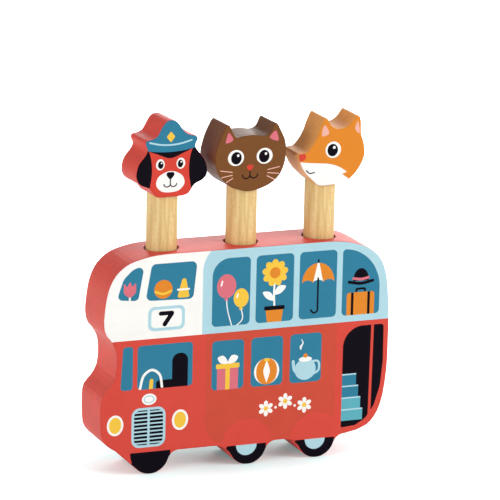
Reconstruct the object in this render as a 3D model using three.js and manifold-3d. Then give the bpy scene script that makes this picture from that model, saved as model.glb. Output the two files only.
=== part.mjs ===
// Pop-up bus toy: a thick painted wooden bus with three blind bores in its roof. In each bore a
// compression spring carries a round wooden peg with an animal's head glued on its top.
// Millimetres, +Z up. The origin is on the floor under the middle of the bus, the nose points to -X
// and the printed side faces -Y.

import * as THREE from 'three';
import { mergeVertices } from 'three/addons/utils/BufferGeometryUtils.js';
import Module from 'manifold-3d';

const wasm = await Module();
wasm.setup();

// Clearances and finish
const restGap = 0.3;          // between pieces that touch, such as a spring's end and its seat
const cutOverrun = 5;         // how far a drill starts outside the surface that it cuts

// The bus, sawn from one block
const bus = {
  bodyLength: 199.5,
  height: 145.4,
  thickness: 37,
  edgeRound: 1,
  bellyHeight: 14.3,
};

// The wheels are half round bumps of the same block
const wheel = {
  radius: 13,
  flatWidth: 3,               // sanded flat that the toy stands on
  frontFillet: 14,            // between a wheel's front side and the belly
  rearFillet: 8,
};
// The wheels' places, as shares of half the bus's length
const wheelPlaceShares = { front: -0.657, middle: 0.021, rear: 0.504 };
const filletReachShare = 0.49;  // the most of the space between two wheels that one fillet may take

// Pegs: a dowel that slides in its bore, with a head on it
const peg = {
  diameter: 20,
  boreClearance: 2,           // bore diameter less dowel diameter
  pitch: 54.6,
  middleX: 1.2,
  rise: 35.6,                 // the head's underside over the roof at rest
  seat: 41,                   // dowel inside the bore at rest
  socket: 18,                 // dowel inside the head
  endRound: 2,
  topRound: 0.8,
};

// Springs, wound from round wire
const spring = {
  restHeight: 52,             // from the bore's floor to the dowel's foot at rest
  wire: 1.4,
  outerDiameter: 18,
  activeCurls: 7,
  endCurls: 1,                // nearly flat curls at each end
  endCurlGap: 0.7,
};

// Heads, sawn from one board
const head = { thickness: 25, edgeRound: 1 };
const dog = { width: 49.3, height: 50, yaw: 3 };
const cat = { width: 49.7, height: 44.3, yaw: 2 };
const fox = { width: 46.3, height: 45.3, yaw: 0 };

// Counts of facets
const steps = { wheelArc: 9, filletArc: 5, profile: 44, headOutline: 120, round: 44, edge: 3, endArc: 3 };
const curlSteps = 8;
const wireSides = 5;

// Outline shares. The nose runs from behind the bumper, round the lower lamp front and the
// windscreen's hollow, to the roof: [x of half the length, z of the height].
const noseShares = [
  [-0.893, 0.117], [-0.937, 0.136], [-0.973, 0.160], [-0.993, 0.186], [-1, 0.225],
  [-1, 0.345], [-0.992, 0.367], [-0.972, 0.386], [-0.945, 0.405], [-0.922, 0.428],
  [-0.905, 0.453], [-0.897, 0.487], [-0.895, 0.530], [-0.902, 0.576], [-0.928, 0.616],
  [-0.972, 0.655], [-0.986, 0.700], [-0.980, 0.770], [-0.964, 0.837], [-0.942, 0.881],
  [-0.903, 0.924], [-0.832, 0.963], [-0.745, 0.984], [-0.650, 0.996], [-0.560, 1],
];
// The tail runs from the roof down to the rear of the belly
const tailShares = [
  [0.480, 1], [0.600, 0.998], [0.705, 0.989], [0.803, 0.969], [0.886, 0.934], [0.944, 0.885],
  [0.975, 0.818], [0.991, 0.732], [0.999, 0.630], [1, 0.520], [0.997, 0.400], [0.984, 0.310],
  [0.964, 0.238], [0.930, 0.180], [0.874, 0.134], [0.790, 0.109],
];

// Heads: [x of the width, z of the height] from the middle of the dowel and the foot of the head,
// from the chin clockwise
const dogShares = [
  [0, 0], [-0.135, 0], [-0.186, 0.010], [-0.226, 0.050], [-0.267, 0.104], [-0.303, 0.134],
  [-0.355, 0.155], [-0.413, 0.181], [-0.448, 0.217], [-0.469, 0.263], [-0.476, 0.320],
  [-0.469, 0.378], [-0.446, 0.443], [-0.411, 0.493], [-0.370, 0.538], [-0.338, 0.583],
  [-0.324, 0.623], [-0.333, 0.660], [-0.348, 0.692], [-0.354, 0.720], [-0.339, 0.747],
  [-0.304, 0.758], [-0.244, 0.770], [-0.192, 0.799], [-0.159, 0.849], [-0.125, 0.910],
  [-0.086, 0.962], [-0.040, 0.993], [0.011, 1], [0.064, 0.985], [0.111, 0.946], [0.153, 0.891],
  [0.197, 0.840], [0.242, 0.804], [0.285, 0.790], [0.338, 0.779], [0.372, 0.761], [0.382, 0.736],
  [0.370, 0.700], [0.354, 0.667], [0.351, 0.631], [0.377, 0.588], [0.422, 0.536], [0.458, 0.494],
  [0.490, 0.441], [0.515, 0.371], [0.524, 0.304], [0.516, 0.257], [0.491, 0.217], [0.444, 0.183],
  [0.373, 0.154], [0.334, 0.125], [0.297, 0.070], [0.260, 0.027], [0.213, 0.008], [0.126, 0],
];
const catShares = [
  [-0.005, 0], [-0.052, 0.003], [-0.145, 0.029], [-0.234, 0.065], [-0.305, 0.117],
  [-0.367, 0.182], [-0.421, 0.253], [-0.462, 0.349], [-0.488, 0.451], [-0.489, 0.544],
  [-0.475, 0.624], [-0.456, 0.698], [-0.432, 0.778], [-0.404, 0.848], [-0.375, 0.912],
  [-0.346, 0.970], [-0.311, 1], [-0.280, 0.968], [-0.250, 0.898], [-0.215, 0.834],
  [-0.187, 0.808], [-0.158, 0.803], [-0.108, 0.815], [-0.048, 0.822], [0.022, 0.825],
  [0.090, 0.820], [0.155, 0.808], [0.203, 0.804], [0.243, 0.816], [0.282, 0.844], [0.308, 0.892],
  [0.332, 0.954], [0.363, 0.983], [0.394, 0.948], [0.425, 0.882], [0.458, 0.811], [0.486, 0.744],
  [0.503, 0.664], [0.511, 0.581], [0.508, 0.489], [0.495, 0.398], [0.475, 0.326], [0.434, 0.228],
  [0.365, 0.142], [0.286, 0.083], [0.199, 0.042], [0.120, 0.016], [0.040, 0.002],
];
const foxShares = [
  [-0.069, 0], [-0.145, 0.013], [-0.201, 0.060], [-0.259, 0.117], [-0.315, 0.172], [-0.376, 0.255],
  [-0.417, 0.340], [-0.440, 0.430], [-0.436, 0.480], [-0.385, 0.490], [-0.318, 0.505], [-0.236, 0.594],
  [-0.172, 0.706], [-0.132, 0.819], [-0.092, 0.915], [-0.056, 0.985], [-0.018, 0.972],
  [0.015, 0.910], [0.065, 0.848], [0.145, 0.815], [0.253, 0.832], [0.335, 0.885], [0.382, 0.947],
  [0.425, 0.998], [0.468, 0.975], [0.488, 0.909], [0.493, 0.800], [0.497, 0.717], [0.525, 0.640],
  [0.549, 0.536], [0.557, 0.428], [0.531, 0.331], [0.477, 0.230], [0.406, 0.137], [0.317, 0.066],
  [0.205, 0.027], [0.076, 0.006],
];

// Sizes that follow from the ones above
const half = 0.5;
const boreDiameter = peg.diameter + peg.boreClearance;
const boreDepth = peg.seat + spring.restHeight;
const boreFloor = bus.height - boreDepth;
const dowelFoot = bus.height - peg.seat;
const headUnderside = bus.height + peg.rise;
const dowelLength = peg.seat + peg.rise + peg.socket;

// Materials
const paint = (color) => new THREE.MeshStandardMaterial({ color, roughness: 0.42, metalness: 0 });
const materials = {
  busPaint: paint(0xd94f43),
  dogPaint: paint(0xd2473c),
  catPaint: paint(0x7b4f2d),
  foxPaint: paint(0xe8963f),
  dowelWood: new THREE.MeshStandardMaterial({ color: 0xe3bd7c, roughness: 0.55, metalness: 0 }),
  springSteel: new THREE.MeshStandardMaterial({ color: 0xb9bcc0, roughness: 0.3, metalness: 1 }),
};

// Booleans
function solidOf(geometry) {
  const bare = geometry.clone();
  bare.deleteAttribute('normal');
  bare.deleteAttribute('uv');
  const merged = mergeVertices(bare);
  return new wasm.Manifold(new wasm.Mesh({
    numProp: 3,
    vertProperties: Float32Array.from(merged.attributes.position.array),
    triVerts: Uint32Array.from(merged.index.array),
  }));
}

function geometryOf(solid) {
  const mesh = solid.getMesh();
  const geometry = new THREE.BufferGeometry();
  geometry.setAttribute('position', new THREE.BufferAttribute(mesh.vertProperties, 3));
  geometry.setIndex(new THREE.BufferAttribute(mesh.triVerts, 1));
  geometry.computeVertexNormals();
  return geometry;
}

// Outlines are lists of points in the plane of the bus: x along it, y upwards
function smoothCurve(points, count, closed = false) {
  const path = points.map(([x, z]) => new THREE.Vector3(x, z, 0));
  const curve = new THREE.CatmullRomCurve3(path, closed, 'centripetal');
  const spaced = curve.getSpacedPoints(count).map((p) => new THREE.Vector2(p.x, p.y));
  return closed ? spaced.slice(0, -1) : spaced;
}

function arcPoints(centre, radius, from, to, count) {
  const points = [];
  for (let i = 0; i <= count; i++) {
    const angle = from + (to - from) * i / count;
    points.push(new THREE.Vector2(centre.x + radius * Math.cos(angle), centre.y + radius * Math.sin(angle)));
  }
  return points;
}

// A board cut to an outline, with both faces' edges rounded over, centred on the plane y = 0
function board(outline, thickness, edgeRound) {
  const geometry = new THREE.ExtrudeGeometry(new THREE.Shape(outline), {
    depth: thickness - 2 * edgeRound,
    bevelEnabled: true,
    bevelThickness: edgeRound,
    bevelSize: edgeRound,
    bevelOffset: -edgeRound,
    bevelSegments: steps.edge,
  });
  geometry.translate(0, 0, edgeRound - thickness * half);
  geometry.rotateX(Math.PI * half);
  return geometry;
}

// A turned piece from its profile: [radius, height] from the axis at the foot to the axis at the top
function turned(profile) {
  const geometry = new THREE.LatheGeometry(profile.map(([r, z]) => new THREE.Vector2(r, z)), steps.round);
  geometry.rotateX(Math.PI * half);
  return geometry;
}

// A quarter round from one point of a profile to the next, bulging away from the axis
function quarterRound(radius, inner, z, rising) {
  const points = [];
  for (let i = 0; i <= steps.edge; i++) {
    const angle = Math.PI * half * i / steps.edge;
    const [r, h] = rising ? [Math.sin(angle), -Math.cos(angle)] : [Math.cos(angle), Math.sin(angle)];
    points.push([inner + radius * r, z + radius * h]);
  }
  return points;
}

// The direction from one point to another, kept between a full turn below zero and zero
function bearingBelow(from, to) {
  const angle = Math.atan2(to.y - from.y, to.x - from.x);
  return angle > 0 ? angle - 2 * Math.PI : angle;
}

// A wheel's circle stands on its sanded flat
function wheelCentre(x) {
  const flatHalf = wheel.flatWidth * half;
  return new THREE.Vector2(x, Math.sqrt(wheel.radius ** 2 - flatHalf ** 2));
}

// The fillet between a wheel and the belly, ahead of the wheel (side -1) or behind it (side 1). It is
// limited where the space between the wheels is too short for it.
function bellyFillet(x, wanted, side, space) {
  const centre = wheelCentre(x);
  const drop = centre.y - bus.bellyHeight;
  const longest = (space * filletReachShare) ** 2 / (wheel.radius - drop);
  const radius = Math.min(wanted, (longest - wheel.radius - drop) * half);
  const reach = Math.sqrt((wheel.radius - drop) * (wheel.radius + 2 * radius + drop));
  return { radius, centre: new THREE.Vector2(x + side * reach, bus.bellyHeight - radius) };
}

// A wheel's bump, from the belly behind it round to the angle where its front side ends
function wheelPoints(x, spaceBehind, endAngle) {
  const centre = wheelCentre(x);
  const rear = bellyFillet(x, wheel.rearFillet, 1, spaceBehind);
  const rearAngle = Math.atan2(rear.centre.y - centre.y, rear.centre.x - centre.x);
  const flatAngle = Math.asin(wheel.flatWidth * half / wheel.radius);
  const down = -Math.PI * half;
  return [
    ...arcPoints(rear.centre, rear.radius, Math.PI * half, Math.PI + rearAngle, steps.filletArc),
    ...arcPoints(centre, wheel.radius, rearAngle, down + flatAngle, steps.wheelArc).slice(1),
    ...arcPoints(centre, wheel.radius, down - flatAngle, endAngle, steps.wheelArc),
  ];
}

// A wheel with the belly on both sides of it
function bellyWheelPoints(x, spaceBehind, spaceAhead) {
  const front = bellyFillet(x, wheel.frontFillet, -1, spaceAhead);
  const endAngle = bearingBelow(wheelCentre(x), front.centre);
  const meet = endAngle + Math.PI;
  const fillet = arcPoints(front.centre, front.radius, meet, Math.PI * half, steps.filletArc);
  return [...wheelPoints(x, spaceBehind, endAngle), ...fillet.slice(1)];
}

// The front wheel runs into the bumper's underside along the tangent from the nose's first point
function frontWheelPoints(x, spaceBehind, nosePoint) {
  const centre = wheelCentre(x);
  const spread = Math.acos(wheel.radius / centre.distanceTo(nosePoint));
  return wheelPoints(x, spaceBehind, bearingBelow(centre, nosePoint) + spread);
}

// The whole outline: up the nose, over the roof, down the tail and back under the belly
function busOutline() {
  const halfLength = bus.bodyLength * half;
  const place = ([x, z]) => [x * halfLength, z * bus.height];
  const nose = smoothCurve(noseShares.map(place), steps.profile);
  const tail = smoothCurve(tailShares.map(place), steps.profile);
  const front = wheelPlaceShares.front * halfLength;
  const middle = wheelPlaceShares.middle * halfLength;
  const rear = wheelPlaceShares.rear * halfLength;
  return [
    ...nose,
    ...tail,
    ...bellyWheelPoints(rear, halfLength - rear, rear - middle),
    ...bellyWheelPoints(middle, rear - middle, middle - front),
    ...frontWheelPoints(front, middle - front, nose[0]),
  ];
}

// The bus block, with its three bores drilled from the roof
function makeBusBody(boreCentres) {
  const radius = boreDiameter * half;
  const drill = turned([[0, boreFloor], [radius, boreFloor], [radius, bus.height + cutOverrun],
    [0, bus.height + cutOverrun]]);
  let solid = solidOf(board(busOutline(), bus.thickness, bus.edgeRound));
  for (const x of boreCentres) {
    solid = solid.subtract(solidOf(drill).translate([x, 0, 0]));
  }
  return geometryOf(solid);
}

// A dowel, foot at z = 0, with a well rounded foot
function makeDowel() {
  const radius = peg.diameter * half;
  return turned([
    [0, 0],
    ...quarterRound(peg.endRound, radius - peg.endRound, peg.endRound, true),
    ...quarterRound(peg.topRound, radius - peg.topRound, dowelLength - peg.topRound, false),
    [0, dowelLength],
  ]);
}

function profileOf(shares, size) {
  return shares.map(([x, z]) => [x * size.width, z * size.height]);
}

// A head, its underside at z = 0, with the blind socket that its dowel is glued into
function makeHead(points) {
  const outline = smoothCurve(points, steps.headOutline, true);
  const radius = peg.diameter * half + restGap;
  const top = peg.socket + restGap;
  const socket = turned([[0, -cutOverrun], [radius, -cutOverrun], [radius, top], [0, top]]);
  return geometryOf(solidOf(board(outline, head.thickness, head.edgeRound)).subtract(solidOf(socket)));
}

// A wire tube round a list of {point, side} stations: side is a unit vector square to the wire
function wireTube(stations, radius) {
  const positions = [];
  const index = [];
  const last = stations.length - 1;
  stations.forEach(({ point, side }, i) => {
    const ahead = stations[Math.min(i + 1, last)].point.clone().sub(stations[Math.max(i - 1, 0)].point);
    const across = new THREE.Vector3().crossVectors(ahead.normalize(), side).normalize();
    for (let k = 0; k < wireSides; k++) {
      const angle = 2 * Math.PI * k / wireSides;
      const spoke = side.clone().multiplyScalar(Math.cos(angle)).addScaledVector(across, Math.sin(angle));
      positions.push(...point.clone().addScaledVector(spoke, radius).toArray());
    }
  });
  for (let i = 0; i < last; i++) {
    for (let k = 0; k < wireSides; k++) {
      const a = i * wireSides + k;
      const b = i * wireSides + (k + 1) % wireSides;
      index.push(a, b, b + wireSides, a, b + wireSides, a + wireSides);
    }
  }
  for (let k = 1; k < wireSides - 1; k++) {
    index.push(0, k + 1, k);
    index.push(last * wireSides, last * wireSides + k, last * wireSides + k + 1);
  }
  const geometry = new THREE.BufferGeometry();
  geometry.setAttribute('position', new THREE.Float32BufferAttribute(positions, 3));
  geometry.setIndex(index);
  geometry.computeVertexNormals();
  return geometry;
}

// The spring's wire: a straight end square to the floor, a bend, a nearly flat curl, the active
// curls and the same again at the top. Its foot is at z = 0.
function springStations(height) {
  const { wire, activeCurls, endCurls, endCurlGap } = spring;
  const coilRadius = (spring.outerDiameter - wire) * half;
  const endPitch = wire + endCurlGap;
  const bend = wire;                                   // radius of the bend at each end
  const low = wire + bend;                             // where the first curl starts
  const activeRise = height - 2 * low - 2 * endCurls * endPitch;
  const curls = activeCurls + 2 * endCurls;
  const heightAt = (turn) => {
    const inLow = Math.min(turn, endCurls);
    const inTop = Math.max(turn - endCurls - activeCurls, 0);
    const inActive = turn - inLow - inTop;
    return low + (inLow + inTop) * endPitch + inActive * activeRise / activeCurls;
  };
  const coil = [];
  for (let i = 0; i <= curls * curlSteps; i++) {
    const turn = i / curlSteps;
    const angle = 2 * Math.PI * turn;
    const side = new THREE.Vector3(Math.cos(angle), Math.sin(angle), 0);
    const point = side.clone().multiplyScalar(coilRadius).setZ(heightAt(turn));
    coil.push({ point, side });
  }
  const endStations = (curlEnd, inward, up) => {
    const { point, side } = curlEnd;
    const along = new THREE.Vector3(-side.y, side.x, 0).multiplyScalar(inward);
    const stations = [];
    for (let i = 1; i <= steps.endArc; i++) {
      const angle = Math.PI * half * i / steps.endArc;
      const corner = point.clone().addScaledVector(along, bend * Math.sin(angle));
      corner.z += up * bend * (1 - Math.cos(angle));
      stations.push({ point: corner, side });
    }
    const tip = stations[stations.length - 1].point.clone();
    tip.z += up * wire;
    stations.push({ point: tip, side });
    return stations;
  };
  const foot = endStations(coil[0], -1, -1).reverse();
  const top = endStations(coil[coil.length - 1], 1, 1);
  return [...foot, ...coil, ...top];
}

// The least gap from the wire to itself, between points more than half a curl apart
function leastSelfGap(stations) {
  let least = Infinity;
  const apart = curlSteps * half;
  for (let i = 0; i < stations.length; i++) {
    for (let j = i + apart + 1; j < stations.length; j++) {
      least = Math.min(least, stations[i].point.distanceTo(stations[j].point) - spring.wire);
    }
  }
  return least;
}

// Assembly
const part = new THREE.Group();

function addPiece(name, geometry, material, parent = part) {
  const mesh = new THREE.Mesh(geometry, material);
  mesh.name = name;
  parent.add(mesh);
  return mesh;
}

const pegs = [
  { name: 'dog', outline: profileOf(dogShares, dog), material: materials.dogPaint, yaw: dog.yaw },
  { name: 'cat', outline: profileOf(catShares, cat), material: materials.catPaint, yaw: cat.yaw },
  { name: 'fox', outline: profileOf(foxShares, fox), material: materials.foxPaint, yaw: fox.yaw },
];
const boreCentres = pegs.map((_, i) => peg.middleX + (i - 1) * peg.pitch);

addPiece('bus_body', makeBusBody(boreCentres), materials.busPaint);

const springWire = springStations(spring.restHeight - 2 * restGap);
const springGap = leastSelfGap(springWire);
console.log(`least gap of a spring's wire to itself: ${springGap.toFixed(2)} mm`);

pegs.forEach(({ name, outline, material, yaw }, i) => {
  const bore = new THREE.Group();
  bore.position.x = boreCentres[i];
  part.add(bore);
  const wire = wireTube(springWire, spring.wire * half);
  const coil = addPiece(`${name}_spring`, wire, materials.springSteel, bore);
  coil.position.z = boreFloor + restGap;
  const dowel = addPiece(`${name}_dowel`, makeDowel(), materials.dowelWood, bore);
  dowel.position.z = dowelFoot;
  const top = addPiece(`${name}_head`, makeHead(outline), material, bore);
  top.position.z = headUnderside;
  top.rotation.z = THREE.MathUtils.degToRad(yaw);
});

export default part;
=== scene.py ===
"""Pop-up bus toy: painted wooden boards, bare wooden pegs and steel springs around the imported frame.

Lengths are in millimetres until a mesh is made. A board is drawn in its own plane: x along it, z up.
"""

import math

import bmesh
import bpy
import numpy as np
from mathutils import Matrix, Vector
from mathutils.geometry import delaunay_2d_cdt


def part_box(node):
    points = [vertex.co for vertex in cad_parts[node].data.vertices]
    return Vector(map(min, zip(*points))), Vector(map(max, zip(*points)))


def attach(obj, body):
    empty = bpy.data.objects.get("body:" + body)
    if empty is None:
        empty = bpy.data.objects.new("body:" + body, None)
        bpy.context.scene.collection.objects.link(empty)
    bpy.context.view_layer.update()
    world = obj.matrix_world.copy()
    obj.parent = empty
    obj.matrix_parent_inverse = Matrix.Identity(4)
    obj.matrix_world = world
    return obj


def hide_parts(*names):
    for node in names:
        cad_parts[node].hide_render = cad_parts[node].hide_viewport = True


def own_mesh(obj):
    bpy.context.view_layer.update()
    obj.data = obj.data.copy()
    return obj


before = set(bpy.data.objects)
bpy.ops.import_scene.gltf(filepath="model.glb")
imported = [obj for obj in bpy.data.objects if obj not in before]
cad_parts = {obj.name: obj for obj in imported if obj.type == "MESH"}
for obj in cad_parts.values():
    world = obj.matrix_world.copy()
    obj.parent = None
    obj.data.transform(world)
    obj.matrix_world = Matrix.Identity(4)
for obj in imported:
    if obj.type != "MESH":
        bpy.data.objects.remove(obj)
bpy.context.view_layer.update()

MM = 0.001

# Boards
EDGE_ROUND = 1.0  # round-over along both faces of every board
EDGE_STEPS = 7
PRINT_WRAP = 4  # steps of the round-over, next to each face, that the print covers
OUTLINE_SPACING = 0.8  # between the points of a board's outline
CURVE_SPACING = 0.5  # between the points of a curve in the print
LONGEST_STRETCH = 3.0  # a straight stretch of an outline is divided to this before smoothing
FACE_NORMAL = 0.985  # what tells a face of a board from its round-over
ON_LINE = 0.01  # how near a CAD vertex is to the line on which it lies

# Turned pieces and round holes
TURNED_SEGMENTS = 96
SHARP_EDGE = math.radians(35)  # an edge that turns by more is shaded sharp

# Cutting a face into the areas of its print
INSIDE_ONLY = 1  # keeps the triangles that lie inside an area
CUT_TOLERANCE = 1e-4

# Bores and sockets
BORE_GAP = 1.0  # between a peg and its bore, all round
REST_GAP = 0.3  # between a piece and what carries it
MOUTH_ROUND = 0.8
MOUTH_SWEEP = math.radians(76)  # of the mouth's rounding, from the bore's wall towards the roof
MOUTH_STEPS = 6
ROOF_FROM = 110  # the bus's outline over this height has the whole roof
WALL_HOLD = 1.0  # a ring this far from an end of a bore's wall keeps its shading even
CUTTER_RISE = 6.0  # how far a cutter stands out of the surface that it cuts

# Pegs
PEG_FOOT_ROUND = 2.0
PEG_FOOT_STEPS = 8
PEG_TOP_ROUND = 0.8
ROUND_HOLD = 0.5  # a ring this far from a rounding keeps the shading beside it even

# Springs
SPRING_WIRE = 1.4
SPRING_ACTIVE_CURLS = 7
SPRING_END_CURLS = 1
SPRING_END_GAP = 0.7
SPRING_BEND_STEPS = 6
CURL_STEPS = 40
WIRE_SIDES = 14

# Gloss, as the shader's specular level
INK_GLOSS = 0.03
PAINT_GLOSS = 0.12
WOOD_GLOSS = 0.3

# Inks of the print
COLOURS = {
    "red": "#D94F43",
    "panel_red": "#CE513F",
    "dog_red": "#D8483B",
    "teal": "#357F9C",
    "step_teal": "#5FAFBD",
    "light_blue": "#B2D9E3",
    "white": "#FDFBF6",
    "black": "#0E0912",
    "orange": "#E38A31",
    "yellow": "#F7C948",
    "pink": "#DC7480",
    "pale_pink": "#F0B5A6",
    "brown": "#7B4F2D",
}

# Paints of the sides and the bores, each with how strongly the wood's grain shows through
SIDE_PAINTS = {
    "bore_red": ("#A93A30", 1.4),
    "side_red": (COLOURS["red"], 1.7),
    "side_dog_red": (COLOURS["dog_red"], 1.7),
    "side_brown": ("#6B4022", 2.2),
    "side_orange": ("#E99F52", 1.5),
}
WOOD_SHADES = ("#D6B274", "#E3C383", "#F0D59A")
STEEL_SHADES = ("#9EA1A6", "#C9CBCF")

# Noise features to the metre along each axis
BOARD_GRAIN = (22, 320, 320)
INK_CLOUDS = (60, 60, 60)
PAINT_CLOUDS = (40, 40, 40)
PAINT_PEEL = (1400, 1400, 1400)
PEG_GRAIN = (420, 420, 30)
PEG_PORES = (1500, 1500, 420)
WIRE_GRAIN = (1200, 1200, 2400)


# Curves and shapes of the print, as lists of (x, z)

def smooth_curve(points, spacing, closed=True):
    """Points about that far apart on a smooth curve through the given ones."""
    path = [Vector(p) for p in points]
    count = len(path)
    made = []
    for i in range(count if closed else count - 1):
        before = path[i - 1] if closed or i else path[0] * 2 - path[1]
        start = path[i]
        end = path[(i + 1) % count]
        after = path[(i + 2) % count] if closed or i + 2 < count else end * 2 - start
        knot_in = math.sqrt((start - before).length)
        knot = math.sqrt((end - start).length)
        knot_out = math.sqrt((after - end).length)
        leaving = (start - before) / knot_in - (end - before) / (knot_in + knot) + (end - start) / knot
        arriving = (end - start) / knot - (after - start) / (knot + knot_out) + (after - end) / knot_out
        pieces = max(1, math.ceil((end - start).length / spacing))
        for k in range(pieces):
            t = k / pieces
            made.append(
                start * (2 * t**3 - 3 * t**2 + 1)
                + leaving * knot * (t**3 - 2 * t**2 + t)
                + end * (3 * t**2 - 2 * t**3)
                + arriving * knot * (t**3 - t**2)
            )
    if not closed:
        made.append(path[-1])
    return [(p.x, p.y) for p in made]


def blob(*points):
    """A smooth closed shape through the points."""
    return smooth_curve(points, CURVE_SPACING)


def open_curve(*points):
    """A smooth line through the points."""
    return smooth_curve(points, CURVE_SPACING, closed=False)


def arc(x, z, radius_x, radius_z, start, end):
    """Part of an ellipse, from one angle to another, in degrees."""
    length = math.radians(abs(end - start)) * max(radius_x, radius_z)
    steps = max(8, math.ceil(length / CURVE_SPACING))
    angles = [math.radians(start + (end - start) * k / steps) for k in range(steps + 1)]
    return [(x + radius_x * math.cos(a), z + radius_z * math.sin(a)) for a in angles]


def ellipse(x, z, radius_x, radius_z=None, tilt=0):
    """An ellipse, or a disc where only one radius is given."""
    ring = arc(0, 0, radius_x, radius_z or radius_x, 0, 360)[:-1]
    c, s = math.cos(math.radians(tilt)), math.sin(math.radians(tilt))
    return [(x + px * c - pz * s, z + px * s + pz * c) for px, pz in ring]


def rounded(points, radii):
    """A polygon with rounded corners. One radius serves all corners, or each has its own."""
    corners = [Vector(p) for p in points]
    radii = radii if isinstance(radii, list) else [radii] * len(corners)
    made = []
    for i, corner in enumerate(corners):
        to_last = (corners[i - 1] - corner).normalized()
        to_next = (corners[(i + 1) % len(corners)] - corner).normalized()
        opening = math.acos(max(-1, min(1, to_last.dot(to_next))))
        radius = radii[i]
        if radius == 0:
            made.append((corner.x, corner.y))
            continue
        reach = radius / math.tan(opening / 2)
        centre = corner + (to_last + to_next).normalized() * radius / math.sin(opening / 2)
        start, end = corner + to_last * reach - centre, corner + to_next * reach - centre
        turn = end.angle_signed(start)
        steps = max(3, math.ceil(abs(turn) * radius / CURVE_SPACING))
        for k in range(steps + 1):
            spoke = Matrix.Rotation(turn * k / steps, 2) @ start
            made.append((centre.x + spoke.x, centre.y + spoke.y))
    return made


def box(x0, z0, x1, z1, radii=0):
    """A box, rounded if it has a radius, or four: bottom left, bottom right, top right, top left."""
    return rounded([(x0, z0), (x1, z0), (x1, z1), (x0, z1)], radii)


def stroke(points, width, curved=True):
    """A line of that width with round ends, along a smooth or a broken line."""
    path = [Vector(p) for p in (open_curve(*points) if curved else points)]
    sides = []
    for i, point in enumerate(path):
        ahead = path[min(i + 1, len(path) - 1)] - path[max(i - 1, 0)]
        sides.append(Vector((-ahead.y, ahead.x)).normalized() * width / 2)
    left = [tuple(p + s) for p, s in zip(path, sides)]
    right = [tuple(p - s) for p, s in zip(path, sides)]

    def cap(end, side, turn):
        """The half circle at one end, without its own two ends."""
        bearing = math.degrees(math.atan2(-side.x, side.y)) + turn
        return arc(end.x, end.y, width / 2, width / 2, bearing, bearing + 180)[1:-1]

    end_cap = cap(path[-1], sides[-1], -90)
    start_cap = cap(path[0], sides[0], 90)
    return right + end_cap + left[::-1] + start_cap


def flipped(shapes, x):
    """The shapes mirrored left to right about that x."""
    return [[(2 * x - px, pz) for px, pz in shape] for shape in shapes]


class Print:
    """Areas of paint on a board's faces, each over the ones before it."""

    def __init__(self, base):
        self.layers = [(base, "both", [], None)]

    def add(self, colour, shape, within=None, face="both"):
        """Adds an area and returns its number. It shows only within the area of that number, if one
        is given, and only on the front or the back, if face names one."""
        self.layers.append((colour, face, shape, within))
        return len(self.layers) - 1

    def colours(self, areas):
        """The colours on the front and the back where these areas lie over each other."""
        front = back = None
        for n in sorted(areas):
            colour, face, _, within = self.layers[n]
            if within is None or within in areas:
                front = front if face == "back" else colour
                back = back if face == "front" else colour
        return front, back


# Meshes

def new_piece(name, mesh, materials):
    piece = bpy.data.objects.new(name, mesh)
    bpy.context.scene.collection.objects.link(piece)
    for material in materials:
        mesh.materials.append(material)
    return piece


def finished(name, shape):
    """The mesh of a shape that is complete."""
    mesh = bpy.data.meshes.new(name)
    shape.to_mesh(mesh)
    shape.free()
    return mesh


def keep_shading(mesh, normals):
    """Stores a normal for each face corner, so that it goes through a boolean cut."""
    held = mesh.attributes.new("shading", "FLOAT_VECTOR", "CORNER")
    held.data.foreach_set("vector", np.asarray(normals, np.float32).ravel())


def use_kept_shading(mesh):
    """Sets the stored normals on the face corners."""
    held = mesh.attributes["shading"]
    normals = np.zeros(len(mesh.loops) * 3, np.float32)
    held.data.foreach_get("vector", normals)
    normals = normals.reshape(-1, 3)
    normals /= np.linalg.norm(normals, axis=1, keepdims=True)
    mesh.attributes.remove(held)
    mesh.normals_split_custom_set(normals)


def cut(piece, cutter):
    """Takes the cutter out of the piece. The walls of the hole keep the cutter's material."""
    modifier = piece.modifiers.new("hole", "BOOLEAN")
    modifier.operation = "DIFFERENCE"
    modifier.solver = "EXACT"
    modifier.material_mode = "TRANSFER"
    modifier.object = cutter
    bpy.context.view_layer.update()
    graph = bpy.context.evaluated_depsgraph_get()
    piece.data = bpy.data.meshes.new_from_object(piece.evaluated_get(graph))
    piece.modifiers.clear()
    bpy.data.objects.remove(cutter)
    use_kept_shading(piece.data)


def lathe(name, profile, material, inside=False):
    """A piece turned about Z from its profile: (radius, z) from the axis at the foot to the axis at
    the top. Where it is a cutter, inside gives the shading of the hole that it leaves."""
    shape = bmesh.new()
    angles = [math.tau * k / TURNED_SEGMENTS for k in range(TURNED_SEGMENTS)]
    rings = []
    for radius, z in profile:
        if radius:
            places = [(radius * math.cos(a), radius * math.sin(a), z) for a in angles]
            rings.append([shape.verts.new(place) for place in places])
        else:
            rings.append([shape.verts.new((0, 0, z))] * TURNED_SEGMENTS)
    for low, high in zip(rings, rings[1:]):
        for k in range(TURNED_SEGMENTS):
            n = (k + 1) % TURNED_SEGMENTS
            corners = dict.fromkeys((low[k], low[n], high[n], high[k]))
            shape.faces.new(list(corners)).smooth = True
    mesh = finished(name, shape)
    mesh.set_sharp_from_angle(angle=SHARP_EDGE)
    if inside:
        keep_shading(mesh, [-n.vector for n in mesh.corner_normals])
    return new_piece(name, mesh, [material])


# Boards

def board_frame(node, centre_x):
    """The frame of a head: its origin at its foot on the peg's axis, its faces square to local Y."""
    front = [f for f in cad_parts[node].data.polygons if f.normal.y < -FACE_NORMAL]
    facing = max(front, key=lambda f: f.area).normal
    turn = math.atan2(facing.x, -facing.y)
    foot = Vector((centre_x, 0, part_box(node)[0].z))
    return Matrix.Translation(foot) @ Matrix.Rotation(turn, 4, "Z")


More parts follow.
